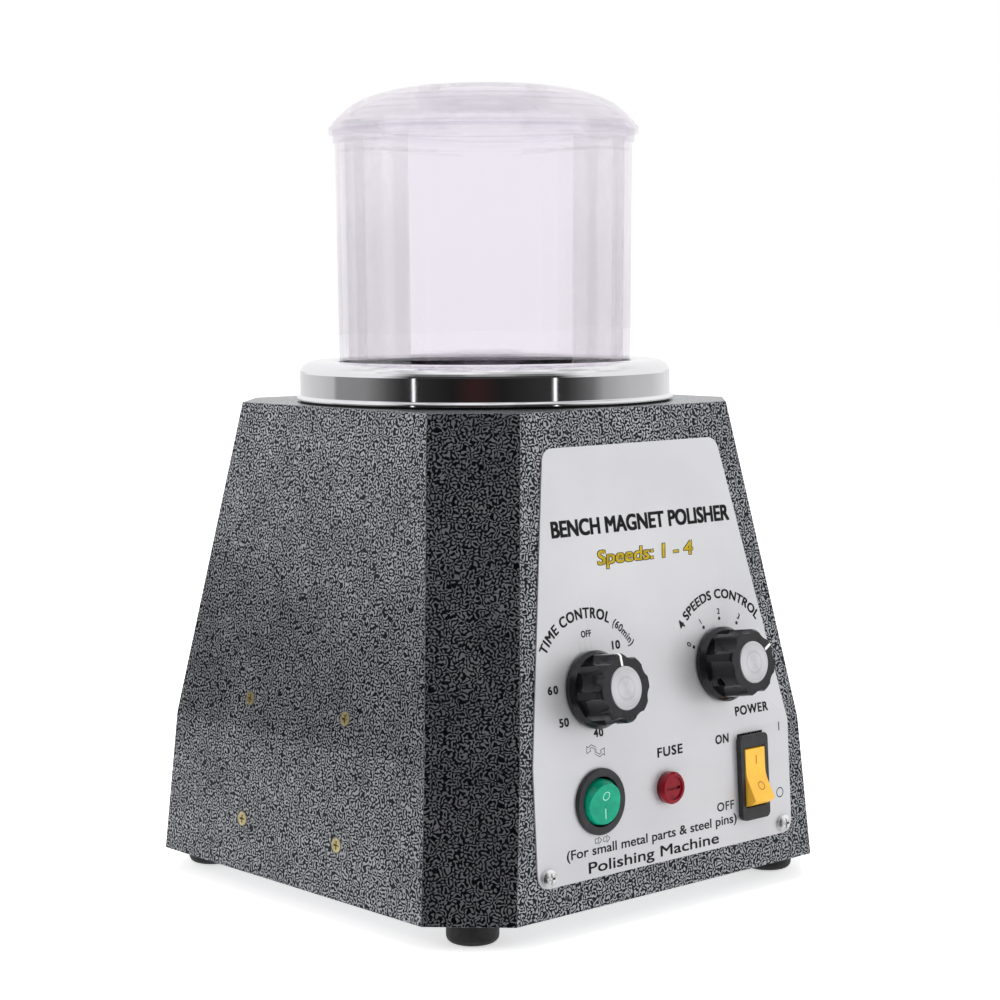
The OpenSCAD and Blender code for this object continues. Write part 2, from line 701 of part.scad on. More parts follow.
module bracket_screws() color("silver") placed() at_posts() translate([0, 0, bracket_z])
    mirror([0, 0, 1]) pan_screw(3.9, 2.4, 2, bracket_t + 7);

module motor_can() color("gray") placed() translate([0, 0, motor_bottom + cap_t]) difference() {
    cylinder(r = motor_r, h = motor_top - motor_bottom - 2 * cap_t);
    translate([0, 0, -1]) cylinder(r = motor_r - 1.5, h = motor_top);
}

module motor_cap() difference() {
    union() {
        cylinder(r = motor_r, h = cap_t);
        translate([0, 0, -2]) cylinder(r = motor_r - 1.6, h = 2.1);
    }
    translate([0, 0, -3]) cylinder(r = 9.02, h = cap_t + 2);
    cylinder(r = 5.5, h = cap_t + 1);
}

module motor_front_cap() color("silver") placed() difference() {
    translate([0, 0, motor_top - cap_t]) motor_cap();
    at_motor_screws() translate([0, 0, motor_top - cap_t - 3]) cylinder(r = 1.72, h = cap_t + 4);
}

module motor_rear_cap() color("silver") placed()
    translate([0, 0, motor_bottom + cap_t]) mirror([0, 0, 1]) motor_cap();

module motor_stator() color("peru") placed() translate([0, 0, motor_bottom + 14]) difference() {
    cylinder(r = motor_r - 1.55, h = motor_top - motor_bottom - 28);
    translate([0, 0, -1]) cylinder(r = 22.6, h = motor_top);
}

module motor_bearings() color("silver") placed()
    for (z = [motor_bottom + 1.1, motor_top - 1 - 5.1]) translate([0, 0, z]) difference() {
        cylinder(r = 9, h = 5);
        translate([0, 0, -1]) cylinder(r = motor_shaft_r + running_gap, h = 8);
    }

module motor_screws() color("silver") placed() at_motor_screws()
    translate([0, 0, bracket_z + bracket_t]) pan_screw(3.2, 2, 1.7, bracket_t + 5);

module motor_armature() color("sienna") placed() translate([0, 0, motor_bottom + 16]) difference() {
    cylinder(r = 22, h = motor_top - motor_bottom - 32);
    translate([0, 0, -1]) cylinder(r = motor_shaft_r + 0.01, h = motor_top);
}

module motor_shaft() color("silver") placed() translate([0, 0, 46])
    cylinder(r = motor_shaft_r, h = rotor_z - 46);

module cooling_fan() color("ivory") placed() translate([0, 0, 47]) difference() {
    union() {
        cylinder(r = 9, h = 9);
        for (a = [0:60:300]) rotate(a) translate([8, 0, 4.5]) rotate([35, 0, 0])
            translate([0, -0.8, -5]) cube([18, 1.6, 10]);
    }
    translate([0, 0, -1]) cylinder(r = motor_shaft_r + 0.01, h = 20);
}

module rotor_hub() color("silver") placed() difference() {
    union() {
        translate([0, 0, 140]) cylinder(r = 9, h = rotor_z - 140);
        translate([0, 0, rotor_z - 3]) cylinder(r = 17, h = 3);
    }
    translate([0, 0, 139]) cylinder(r = motor_shaft_r + 0.01, h = 20);
    for (a = [0:120:240]) rotate(a) translate([13, 0, rotor_z - 5]) cylinder(r = 1.42, h = 10);
}

module rotor_disc() color("lightgray") placed() difference() {
    translate([0, 0, rotor_z]) cylinder(r = rotor_r, h = rotor_t, $fn = 96);
    at_magnets() translate([0, 0, rotor_z + 1.5]) cylinder(r = magnet_r + 0.05, h = 10);
    for (a = [0:120:240]) rotate(a) translate([13, 0, rotor_z - 1]) cylinder(r = 1.6, h = 10);
}

module magnets() color("dimgray") placed() at_magnets()
    translate([0, 0, rotor_z + 1.5]) cylinder(r = magnet_r, h = 4.8);

module hub_screws() color("silver") placed() for (a = [0:120:240]) rotate(a)
    translate([13, 0, rotor_z - 3]) mirror([0, 0, 1]) pan_screw(2.6, 1.6, 1.4, rotor_t + 2);

// ---------- mains inlet ----------

module mains_inlet() color("black") placed() on_rear_skirt(inlet_x, inlet_s) difference() {
    union() {
        linear_extrude(height = 2.4) rounded_rect(50, 22.6, 3);
        translate([-13.7, -10, -20]) cube([27.4, 20, 20.5]);
        for (x = [-7, 0, 7]) translate([x - 2.4, -0.4, -27]) cube([4.8, 0.8, 8]);
    }
    difference() {
        translate([-11.8, -8, -14]) cube([23.6, 16, 20]);
        for (x = [-7, 0, 7]) translate([x - 1, (x == 0 ? 1.6 : -2) - 2, -15]) cube([2, 4, 15]);
    }
    for (x = [-20, 20]) translate([x, 0, -1]) cylinder(r = 1.7, h = 5);
}

module inlet_screws() color("silver") placed() on_rear_skirt(inlet_x, inlet_s)
    for (x = [-20, 20]) translate([x, 0, 2.4]) pan_screw(2.8, 1.6, 1.5, 8);

// ---------- what is drawn ----------

housing_shell();
base_plate();
rubber_feet();
foot_screws();
foot_nuts();
control_panel();
panel_screws();
locating_ring();
ring_gasket();
deck_plate();
ring_studs();
container();
lid();
timer_module();
timer_nut();
timer_shaft();
timer_knob();
timer_knob_cap();
timer_grub_screw();
speed_switch();
speed_nut();
speed_shaft();
speed_knob();
speed_knob_cap();
speed_grub_screw();
power_switch_body();
power_rocker();
direction_switch_body();
direction_rocker();
switch_terminals();
fuse_holder();
fuse_nut();
fuse_cap();
fuse();
side_screws();
board_standoffs();
control_board();
board_screws();
board_heat_sink();
board_capacitors();
board_transformer();
bracket_posts();
motor_bracket();
bracket_screws();
motor_can();
motor_front_cap();
motor_rear_cap();
motor_stator();
motor_bearings();
motor_screws();
motor_armature();
motor_shaft();
cooling_fan();
rotor_hub();
rotor_disc();
magnets();
hub_screws();
mains_inlet();
inlet_screws();
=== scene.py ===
"""Looks of the bench-top magnetic tumbler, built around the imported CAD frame.

Lengths are in metres and the axes are the CAD's: +Z up, -Y towards the control panel.
"""

import json
import math

import bpy
from mathutils import Matrix, Vector


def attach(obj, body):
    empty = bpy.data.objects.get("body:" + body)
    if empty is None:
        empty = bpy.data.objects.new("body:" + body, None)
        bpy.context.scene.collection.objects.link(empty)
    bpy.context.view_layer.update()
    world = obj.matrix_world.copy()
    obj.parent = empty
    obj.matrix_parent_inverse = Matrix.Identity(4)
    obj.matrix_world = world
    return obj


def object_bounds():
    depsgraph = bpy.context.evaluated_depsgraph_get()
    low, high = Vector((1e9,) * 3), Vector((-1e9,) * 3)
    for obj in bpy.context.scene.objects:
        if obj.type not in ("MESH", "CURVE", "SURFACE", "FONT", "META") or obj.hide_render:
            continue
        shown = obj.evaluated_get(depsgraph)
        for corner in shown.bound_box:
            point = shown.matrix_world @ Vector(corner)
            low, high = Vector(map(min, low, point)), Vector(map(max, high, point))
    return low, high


MM = 0.001
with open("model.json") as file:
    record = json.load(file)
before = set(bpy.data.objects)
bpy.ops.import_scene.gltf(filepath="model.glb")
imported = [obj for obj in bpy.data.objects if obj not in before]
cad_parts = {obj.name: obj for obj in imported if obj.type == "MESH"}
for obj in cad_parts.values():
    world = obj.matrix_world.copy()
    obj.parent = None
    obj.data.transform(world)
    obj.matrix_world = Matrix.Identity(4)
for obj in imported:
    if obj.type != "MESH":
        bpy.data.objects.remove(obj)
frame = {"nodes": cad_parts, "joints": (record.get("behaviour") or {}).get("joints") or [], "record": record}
cad_box = [list(corner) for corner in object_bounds()]
nodes = frame["nodes"]
joints = {j["name"]: j for j in frame["joints"]}
slot_of = {p["node"]: p["material_slot"] for p in frame["record"]["subparts"]}
scene = bpy.context.scene

# ---------- places, all taken from the frame ----------

SIDE = Vector((1, 0, 0))
TIMER_X = -29.3 * MM     # the timer's knob on the panel, from the panel's middle line
TIMER_S = 20.4 * MM      # its height above the panel's bend, along the slope
PRINT_LIFT = 0.03 * MM   # how far ink stands off the metal


class Plane:
    """A flat place: a point, and unit vectors sideways, up and outwards."""

    def __init__(self, origin, normal, side=SIDE):
        self.o = Vector(origin)
        self.n = Vector(normal).normalized()
        self.u = Vector(side).normalized()
        self.v = self.n.cross(self.u).normalized()

    def at(self, x, y, z=0.0):
        return self.o + self.u * x + self.v * y + self.n * z

    def shifted(self, x, y, z=0.0):
        return Plane(self.at(x, y, z), self.n, self.u)

    def tipped(self, degrees):
        """The same place, with its top turned outwards about its sideways axis."""
        return Plane(self.o, Matrix.Rotation(math.radians(degrees), 3, self.u) @ self.n, self.u)

    def turned(self, degrees):
        """The same place, with its axes turned anticlockwise as seen from outside."""
        side = Matrix.Rotation(math.radians(degrees), 3, self.n) @ self.u
        return Plane(self.o, self.n, side)


timer_centre = Vector(joints["timer_turn"]["pos_m"])
speed_centre = Vector(joints["speed_turn"]["pos_m"])
timer_place = Plane(timer_centre, joints["timer_turn"]["axis"])
speed_place = Plane(speed_centre, timer_place.n)
slope = timer_place.shifted(-TIMER_X, -TIMER_S)
skirt = Plane(slope.o, joints["fuse_draw"]["axis"])

# ---------- camera ----------

CAMERA_AT = Vector((-0.53687, -0.60238, 0.20470))
CAMERA_YAW = math.radians(41.870)
CAMERA_PITCH = math.radians(5.432)
CAMERA_ROLL = math.radians(-0.316)
FOCAL_LENGTH = 84.79    # millimetres, on a 36 mm wide sensor
SENSOR_WIDTH = 36.0


def add_camera():
    data = bpy.data.cameras.new("camera")
    data.lens = FOCAL_LENGTH
    data.sensor_width = SENSOR_WIDTH
    data.clip_start = 0.01
    data.clip_end = 60.0
    cam = bpy.data.objects.new("camera", data)
    scene.collection.objects.link(cam)
    sy, cy = math.sin(CAMERA_YAW), math.cos(CAMERA_YAW)
    sp, cp = math.sin(CAMERA_PITCH), math.cos(CAMERA_PITCH)
    forward = Vector((sy * cp, cy * cp, -sp))
    level = Vector((cy, -sy, 0))
    upright = level.cross(forward)
    right = level * math.cos(CAMERA_ROLL) + upright * math.sin(CAMERA_ROLL)
    up = upright * math.cos(CAMERA_ROLL) - level * math.sin(CAMERA_ROLL)
    turn = Matrix((right, up, -forward)).transposed().to_4x4()
    cam.matrix_world = Matrix.Translation(CAMERA_AT) @ turn
    scene.camera = cam


# ---------- node helpers ----------

def new_material(name):
    mat = bpy.data.materials.new(name)
    mat.use_nodes = True
    tree = mat.node_tree
    return mat, tree, tree.nodes["Principled BSDF"]


def node(tree, kind, **settings):
    made = tree.nodes.new(kind)
    for key, value in settings.items():
        if key in made.inputs:
            made.inputs[key].default_value = value
        else:
            setattr(made, key, value)
    return made


def link(tree, a, b):
    tree.links.new(a, b)


def coordinates(tree):
    return node(tree, "ShaderNodeTexCoord").outputs["Object"]


def noise(tree, scale, detail=3.0, rough=0.5, vector=None, distortion=0.0):
    tex = node(tree, "ShaderNodeTexNoise")
    tex.inputs["Scale"].default_value = scale
    tex.inputs["Detail"].default_value = detail
    tex.inputs["Roughness"].default_value = rough
    tex.inputs["Distortion"].default_value = distortion
    link(tree, vector or coordinates(tree), tex.inputs["Vector"])
    return tex.outputs["Fac"]


def ramp(tree, value, stops, smooth=False):
    made = node(tree, "ShaderNodeValToRGB")
    if smooth:
        made.color_ramp.interpolation = "EASE"
    points = made.color_ramp.elements
    while len(points) < len(stops):
        points.new(0.5)
    for point, (place, colour) in zip(points, stops):
        point.position = place
        point.color = (*colour, 1) if len(colour) == 3 else colour
    link(tree, value, made.inputs["Fac"])
    return made.outputs["Color"]


def grey(v):
    return (v, v, v)


def bump(tree, bsdf, height, strength, distance):
    made = node(tree, "ShaderNodeBump")
    made.inputs["Strength"].default_value = strength
    made.inputs["Distance"].default_value = distance
    link(tree, height, made.inputs["Height"])
    link(tree, made.outputs["Normal"], bsdf.inputs["Normal"])
    return made


def varied(name, colour, spread=0.12, scale=300.0, rough=(0.35, 0.5), metal=0.0, bumps=0.0,
           fine=1500.0, **sockets):
    """A finish whose colour and roughness drift over the surface, with a fine bump."""
    mat, tree, bsdf = new_material(name)
    drift = noise(tree, scale, 4.0)
    low = tuple(c * (1 - spread) for c in colour)
    high = tuple(min(1.0, c * (1 + spread)) for c in colour)
    link(tree, ramp(tree, drift, [(0.3, low), (0.7, high)]), bsdf.inputs["Base Color"])
    link(tree, ramp(tree, noise(tree, scale * 2.3, 5.0), [(0.3, grey(rough[0])), (0.7, grey(rough[1]))]),
         bsdf.inputs["Roughness"])
    bsdf.inputs["Metallic"].default_value = metal
    if bumps:
        bump(tree, bsdf, noise(tree, fine, 3.0), bumps, 0.0001)
    for key, value in sockets.items():
        bsdf.inputs[key.replace("_", " ")].default_value = value
    return mat


# ---------- materials of the outside ----------

def on_the_sheet(tree):
    """Coordinates along and up the sheet, whichever way it faces."""
    place = coordinates(tree)
    normal = node(tree, "ShaderNodeNewGeometry").outputs["True Normal"]
    across = node(tree, "ShaderNodeVectorMath", operation="CROSS_PRODUCT")
    across.inputs[0].default_value = (0, 0, 1)
    link(tree, normal, across.inputs[1])
    # the level top has no way across of its own, so it takes X
    nudged = node(tree, "ShaderNodeVectorMath", operation="ADD")
    link(tree, across.outputs[0], nudged.inputs[0])
    nudged.inputs[1].default_value = (0.001, 0, 0)
    side = node(tree, "ShaderNodeVectorMath", operation="NORMALIZE")
    link(tree, nudged.outputs[0], side.inputs[0])
    up = node(tree, "ShaderNodeVectorMath", operation="CROSS_PRODUCT")
    link(tree, normal, up.inputs[0])
    link(tree, side.outputs[0], up.inputs[1])
    both = node(tree, "ShaderNodeCombineXYZ")
    for axis, way in (("X", side), ("Y", up)):
        along = node(tree, "ShaderNodeVectorMath", operation="DOT_PRODUCT")
        link(tree, place, along.inputs[0])
        link(tree, way.outputs[0], along.inputs[1])
        link(tree, along.outputs["Value"], both.inputs[axis])
    return both.outputs[0]


def ripples(tree, place, wavelength, count):
    """Sum of waves of one length in many directions: even, worm-like blotches about zero."""
    total = None
    for i in range(count):
        angle = math.pi * (i + 0.3 * math.sin(5.0 * i)) / count
        reach = 2 * math.pi / wavelength * (1 + 0.10 * math.sin(3.7 * i + 1.0))
        phase = node(tree, "ShaderNodeVectorMath", operation="DOT_PRODUCT")
        link(tree, place, phase.inputs[0])
        phase.inputs[1].default_value = (reach * math.cos(angle), reach * math.sin(angle), 0)
        wave = node(tree, "ShaderNodeMath", operation="SINE")
        shifted = node(tree, "ShaderNodeMath", operation="ADD")
        link(tree, phase.outputs["Value"], shifted.inputs[0])
        shifted.inputs[1].default_value = 2.4 * i * i
        link(tree, shifted.outputs[0], wave.inputs[0])
        if total is None:
            total = wave.outputs[0]
            continue
        added = node(tree, "ShaderNodeMath", operation="ADD")
        link(tree, total, added.inputs[0])
        link(tree, wave.outputs[0], added.inputs[1])
        total = added.outputs[0]
    return total


SPOT_PITCH = 1.16 * MM   # from one dark spot of the paint to the next
SPOT_WAVES = 9           # directions of the waves that make the spots
SPOT_WARP = 3.6 * MM     # how far noise pushes the waves about


def hammertone():
    """Hammered enamel: a silver network drawn back from small dark spots, a millimetre apart."""
    mat, tree, bsdf = new_material("hammertone")
    sheet = on_the_sheet(tree)
    warp = node(tree, "ShaderNodeTexNoise", Scale=330.0, Detail=1.0, Roughness=0.5)
    link(tree, sheet, warp.inputs["Vector"])
    centred = node(tree, "ShaderNodeVectorMath", operation="SUBTRACT")
    link(tree, warp.outputs["Color"], centred.inputs[0])
    centred.inputs[1].default_value = (0.5, 0.5, 0.5)
    moved = node(tree, "ShaderNodeVectorMath", operation="MULTIPLY_ADD")
    link(tree, centred.outputs[0], moved.inputs[0])
    moved.inputs[1].default_value = (SPOT_WARP, SPOT_WARP, 0)
    link(tree, sheet, moved.inputs[2])
    level = node(tree, "ShaderNodeMath", operation="MULTIPLY_ADD")
    link(tree, ripples(tree, moved.outputs[0], SPOT_PITCH, SPOT_WAVES), level.inputs[0])
    level.inputs[1].default_value = 0.1
    level.inputs[2].default_value = 0.53
    island = ramp(tree, level.outputs[0], [(0.42, grey(0)), (0.54, grey(1))])
    light = ramp(tree, noise(tree, 70.0, 3.0), [(0.3, (0.36, 0.37, 0.40)), (0.7, (0.52, 0.53, 0.56))])
    dark = ramp(tree, noise(tree, 260.0, 3.0), [(0.3, (0.006, 0.007, 0.010)), (0.7, (0.018, 0.020, 0.027))])
    mixed = node(tree, "ShaderNodeMix", data_type="RGBA")
    link(tree, island, mixed.inputs["Factor"])
    link(tree, light, mixed.inputs[6])
    link(tree, dark, mixed.inputs[7])
    link(tree, mixed.outputs[2], bsdf.inputs["Base Color"])
    link(tree, ramp(tree, island, [(0, grey(0.34)), (1, grey(0.28))]), bsdf.inputs["Roughness"])
    bsdf.inputs["Metallic"].default_value = 0.88
    bsdf.inputs["Coat Weight"].default_value = 0.15
    bsdf.inputs["Coat Roughness"].default_value = 0.12
    bump(tree, bsdf, island, 0.3, 0.0001)
    return mat


def panel_aluminium():
    mat, tree, bsdf = new_material("panel_aluminium")
    link(tree, ramp(tree, noise(tree, 18.0, 3.0), [(0.3, (0.66, 0.66, 0.685)), (0.7, (0.74, 0.74, 0.765))]),
         bsdf.inputs["Base Color"])
    link(tree, ramp(tree, noise(tree, 120.0, 5.0), [(0.3, grey(0.36)), (0.7, grey(0.44))]),
         bsdf.inputs["Roughness"])
    bsdf.inputs["Metallic"].default_value = 0.55
    bump(tree, bsdf, noise(tree, 5200.0, 2.0), 0.10, 0.00003)
    return mat


def chrome():
    mat, tree, bsdf = new_material("chrome_ring")
    link(tree, ramp(tree, noise(tree, 40.0, 4.0), [(0.35, (0.86, 0.86, 0.885)), (0.7, (0.92, 0.92, 0.94))]),
         bsdf.inputs["Base Color"])
    link(tree, ramp(tree, noise(tree, 90.0, 6.0, 0.7), [(0.40, grey(0.035)), (0.75, grey(0.10))]),
         bsdf.inputs["Roughness"])
    bsdf.inputs["Metallic"].default_value = 1.0
    bump(tree, bsdf, noise(tree, 45.0, 2.0), 0.04, 0.0004)
    return mat


STRAIGHT_SHARE = 0.60    # of the light that the clear plastic lets through without bending it


def clear_plastic():
    """Clear moulding with a faint lilac tint.

    A real clear wall bends all of the light. This one lets a share go straight on, for a paler look.
    """
    mat, tree, bsdf = new_material("clear_plastic")
    bsdf.inputs["Base Color"].default_value = (0.955, 0.938, 0.966, 1)
    bsdf.inputs["Transmission Weight"].default_value = 1.0
    bsdf.inputs["IOR"].default_value = 1.45
    link(tree, ramp(tree, noise(tree, 300.0, 6.0, 0.7), [(0.45, grey(0.0)), (0.8, grey(0.035))]),
         bsdf.inputs["Roughness"])
    bump(tree, bsdf, noise(tree, 35.0, 2.0), 0.03, 0.0008)
    through = node(tree, "ShaderNodeBsdfTransparent")
    through.inputs["Color"].default_value = (0.962, 0.947, 0.972, 1)
    straight = node(tree, "ShaderNodeMath", operation="MAXIMUM")
    rays = node(tree, "ShaderNodeLightPath")
    link(tree, rays.outputs["Is Shadow Ray"], straight.inputs[0])
    straight.inputs[1].default_value = STRAIGHT_SHARE
    mix = node(tree, "ShaderNodeMixShader")
    link(tree, straight.outputs[0], mix.inputs["Fac"])
    link(tree, bsdf.outputs[0], mix.inputs[1])
    link(tree, through.outputs[0], mix.inputs[2])
    link(tree, mix.outputs[0], tree.nodes["Material Output"].inputs["Surface"])
    return mat


def black_knob():
    mat = varied("black_bakelite", (0.010, 0.010, 0.012), 0.3, 500.0, (0.08, 0.18), bumps=0.05, fine=900.0)
    bsdf = mat.node_tree.nodes["Principled BSDF"]
    bsdf.inputs["Specular IOR Level"].default_value = 0.42
    return mat


def spun_cap(name, place):
    """Aluminium turned about the knob's own axis, so its highlights fan out from the middle."""
    mat, tree, bsdf = new_material(name)
    arm = node(tree, "ShaderNodeVectorMath", operation="SUBTRACT")
    link(tree, coordinates(tree), arm.inputs[0])
    arm.inputs[1].default_value = tuple(place.o)
    round_it = node(tree, "ShaderNodeVectorMath", operation="CROSS_PRODUCT")
    round_it.inputs[0].default_value = tuple(place.n)
    link(tree, arm.outputs[0], round_it.inputs[1])
    to_world = node(tree, "ShaderNodeVectorTransform", vector_type="VECTOR", convert_from="OBJECT",
                    convert_to="WORLD")
    link(tree, round_it.outputs[0], to_world.inputs[0])
    unit = node(tree, "ShaderNodeVectorMath", operation="NORMALIZE")
    link(tree, to_world.outputs[0], unit.inputs[0])
    link(tree, unit.outputs[0], bsdf.inputs["Tangent"])
    radius = node(tree, "ShaderNodeVectorMath", operation="LENGTH")
    link(tree, arm.outputs[0], radius.inputs[0])
    rings = node(tree, "ShaderNodeTexNoise", noise_dimensions="1D", Scale=4200.0, Detail=2.0)
    link(tree, radius.outputs["Value"], rings.inputs["W"])
    link(tree, ramp(tree, rings.outputs["Fac"], [(0.3, (0.72, 0.72, 0.75)), (0.7, (0.88, 0.88, 0.91))]),
         bsdf.inputs["Base Color"])
    bsdf.inputs["Metallic"].default_value = 1.0
    bsdf.inputs["Roughness"].default_value = 0.28
    bsdf.inputs["Anisotropic"].default_value = 0.85
    return mat


def translucent(name, colour, rough=(0.12, 0.2), shine=0.4):
    mat = varied(name, colour, 0.15, 400.0, rough, bumps=0.03, fine=700.0)
    bsdf = mat.node_tree.nodes["Principled BSDF"]
    bsdf.inputs["Subsurface Weight"].default_value = 0.4
    bsdf.inputs["Subsurface Radius"].default_value = (0.002, 0.002, 0.002)
    bsdf.inputs["Specular IOR Level"].default_value = shine
    return mat


MATERIALS = {
    "hammertone": hammertone(),
    "base_steel": varied("base_steel", (0.50, 0.51, 0.53), 0.1, 60.0, (0.35, 0.5), 1.0, 0.05),
    "rubber": varied("rubber", (0.018, 0.018, 0.018), 0.3, 300.0, (0.55, 0.75), bumps=0.2),
    "plated_fastener": varied("plated_fastener", (0.90, 0.90, 0.91), 0.15, 400.0, (0.18, 0.32), 1.0, 0.04),
    "yellow_zinc": varied("yellow_zinc", (0.72, 0.62, 0.34), 0.2, 500.0, (0.25, 0.4), 1.0, 0.05),
    "panel_aluminium": panel_aluminium(),
    "chrome_ring": chrome(),
    "gasket_rubber": varied("gasket_rubber", (0.012, 0.012, 0.012), 0.3, 300.0, (0.6, 0.8), bumps=0.2),
    "deck_steel": varied("deck_steel", (0.72, 0.72, 0.74), 0.06, 30.0, (0.22, 0.34), 1.0, 0.04),
    "clear_plastic": clear_plastic(),
    "black_bakelite": black_knob(),
    "switch_black": varied("switch_black", (0.022, 0.022, 0.025), 0.25, 350.0, (0.3, 0.45), bumps=0.08),
    "rocker_yellow": varied("rocker_yellow", (0.93, 0.50, 0.045), 0.06, 250.0, (0.3, 0.42), bumps=0.05),
    "rocker_green": translucent("rocker_green", (0.003, 0.31, 0.185), shine=0.3),
    "fuse_red": translucent("fuse_red", (0.22, 0.004, 0.012), shine=0.3),
    "fuse_body": varied("fuse_body", (0.10, 0.006, 0.012), 0.2, 300.0, (0.2, 0.35), bumps=0.05),
    "terminal_brass": varied("terminal_brass", (0.78, 0.58, 0.26), 0.12, 300.0, (0.22, 0.4), 1.0, 0.04),
    "timer_case": varied("timer_case", (0.50, 0.42, 0.28), 0.1, 200.0, (0.4, 0.55), bumps=0.1),
    "board_green": varied("board_green", (0.02, 0.17, 0.06), 0.2, 150.0, (0.2, 0.35), bumps=0.05),
    "heat_sink": varied("heat_sink", (0.62, 0.62, 0.64), 0.1, 90.0, (0.3, 0.45), 1.0, 0.05),
    "capacitor_sleeve": varied("capacitor_sleeve", (0.02, 0.03, 0.12), 0.2, 300.0, (0.2, 0.35)),
    "transformer_tape": varied("transformer_tape", (0.75, 0.48, 0.07), 0.1, 200.0, (0.35, 0.5)),
    "motor_steel": varied("motor_steel", (0.16, 0.165, 0.175), 0.12, 120.0, (0.4, 0.55), bumps=0.1),
    "copper_winding": varied("copper_winding", (0.50, 0.22, 0.09), 0.3, 900.0, (0.3, 0.5), 0.8, 0.3),
    "fan_plastic": varied("fan_plastic", (0.78, 0.75, 0.66), 0.06, 200.0, (0.35, 0.5), bumps=0.05),
    "rotor_aluminium": varied("rotor_aluminium", (0.70, 0.70, 0.72), 0.08, 90.0, (0.25, 0.4), 1.0, 0.05),
    "magnet_nickel": varied("magnet_nickel", (0.56, 0.56, 0.55), 0.06, 120.0, (0.1, 0.2), 1.0),
    "steel_shaft": varied("steel_shaft", (0.58, 0.58, 0.60), 0.1, 200.0, (0.2, 0.35), 1.0, 0.03),
    "glass_fuse": varied("glass_fuse", (0.80, 0.82, 0.82), 0.05, 200.0, (0.05, 0.12)),
}
CAPS = {
    "timer_knob_cap": spun_cap("spun_aluminium", timer_place),
    "speed_knob_cap": spun_cap("spun_aluminium_right", speed_place),
}


def dress_nodes():
    for name, obj in nodes.items():
        mat = CAPS.get(name) or MATERIALS[slot_of[name]]
        obj.data.materials.clear()
        obj.data.materials.append(mat)


# ---------- softened edges ----------

BEVELS = {"housing_shell": 1.1, "control_panel": 0.15, "power_switch_body": 0.3,
          "direction_switch_body": 0.3, "power_rocker": 0.7, "direction_rocker": 0.5,
          "mains_inlet": 0.3, "fuse_cap": 0.2, "timer_knob": 0.3, "speed_knob": 0.3}


def soften_edges():
    for name, width in BEVELS.items():
        obj = nodes[name]
        weld = obj.modifiers.new("weld", "WELD")
        weld.merge_threshold = 1e-6
        bevel = obj.modifiers.new("edges", "BEVEL")
        bevel.width = width * MM
        bevel.segments = 3
        bevel.limit_method = "ANGLE"
        bevel.angle_limit = math.radians(22)
        bevel.use_clamp_overlap = True
        bevel.harden_normals = True


# ---------- printed lettering ----------

class Print:
    """Collects flat shapes on the panel into one thin mesh of one ink."""

    def __init__(self, name, material, slot, body="housing"):
        self.name, self.material, self.slot, self.body = name, material, slot, body
        self.points, self.faces = [], []

    def add(self, place, points, faces, lift=1.0):
        start = len(self.points)
        self.points += [place.at(x, y, z + PRINT_LIFT * lift) for x, y, z in points]
        self.faces += [[start + i for i in face] for face in faces]

    def build(self):
        mesh = bpy.data.meshes.new(self.name)
        mesh.from_pydata([tuple(p) for p in self.points], [], self.faces)
        mesh.validate()
        mesh.update()
        obj = bpy.data.objects.new(self.name, mesh)
        scene.collection.objects.link(obj)
        mesh.materials.append(self.material)
        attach(obj, self.body)
        return obj


def glyphs(text, shear=0.0, spacing=1.0):
    """Flat outline of a line of text, its capitals one unit tall, as points and faces."""
    curve = bpy.data.curves.new("line", "FONT")
    curve.body = text
    curve.shear = shear
    curve.space_character = spacing
    curve.resolution_u = 4
    obj = bpy.data.objects.new("line", curve)
    scene.collection.objects.link(obj)
    bpy.context.view_layer.update()
    graph = bpy.context.evaluated_depsgraph_get()
    mesh = bpy.data.meshes.new_from_object(obj.evaluated_get(graph))
    points = [(v.co.x / CAP_HEIGHT, v.co.y / CAP_HEIGHT) for v in mesh.vertices]
    faces = [list(p.vertices) for p in mesh.polygons]
    bpy.data.objects.remove(obj)
    bpy.data.curves.remove(curve)
    bpy.data.meshes.remove(mesh)
    return points, faces


# glyphs() divides by the height of a capital, so it is one while that height is measured
CAP_HEIGHT = 1.0
CAP_HEIGHT = max(y for _, y in glyphs("H")[0])


def copies(bold):
    """Offsets of the copies that thicken a line of text by bold millimetres."""
    if not bold:
        return [(0.0, 0.0)]
    return [(0.0, 0.0)] + [(a * bold / 2, b * bold / 3) for a, b in
                           ((-1, -1), (1, -1), (1, 1), (-1, 1), (-1, 0), (1, 0))]


def write(ink, place, text, x, y, cap, span=None, bold=0.0, shear=0.0, spacing=1.0, lift=1.0):
    """Text centred on (x, y) millimetres, with capitals cap tall, and span wide if given."""
    points, faces = glyphs(text, shear, spacing)
    low, high = min(p[0] for p in points), max(p[0] for p in points)
    wide = (span - bold) / (high - low) if span else cap
    tall = cap - bold * 2 / 3
    middle = (low + high) / 2
    for dx, dy in copies(bold):
        moved = [((x + dx + (px - middle) * wide) * MM, (y + dy + (py - 0.5) * tall) * MM, 0.0)
                 for px, py in points]
        ink.add(place, moved, faces, lift)


def write_arc(ink, place, text, radius, start, end, cap, bold=0.0, spacing=1.0):
    """Text bent clockwise round the place, its foot on the radius, from one angle to another."""
    points, faces = glyphs(text, 0.0, spacing)
    low, high = min(p[0] for p in points), max(p[0] for p in points)
    for dx, dy in copies(bold):
        moved = []
        for px, py in points:
            angle = math.radians(start + (end - start) * (px - low) / (high - low)) - dx / radius
            r = (radius + dy + py * cap) * MM
            moved.append((r * math.cos(angle), r * math.sin(angle), 0.0))
        ink.add(place, moved, faces)


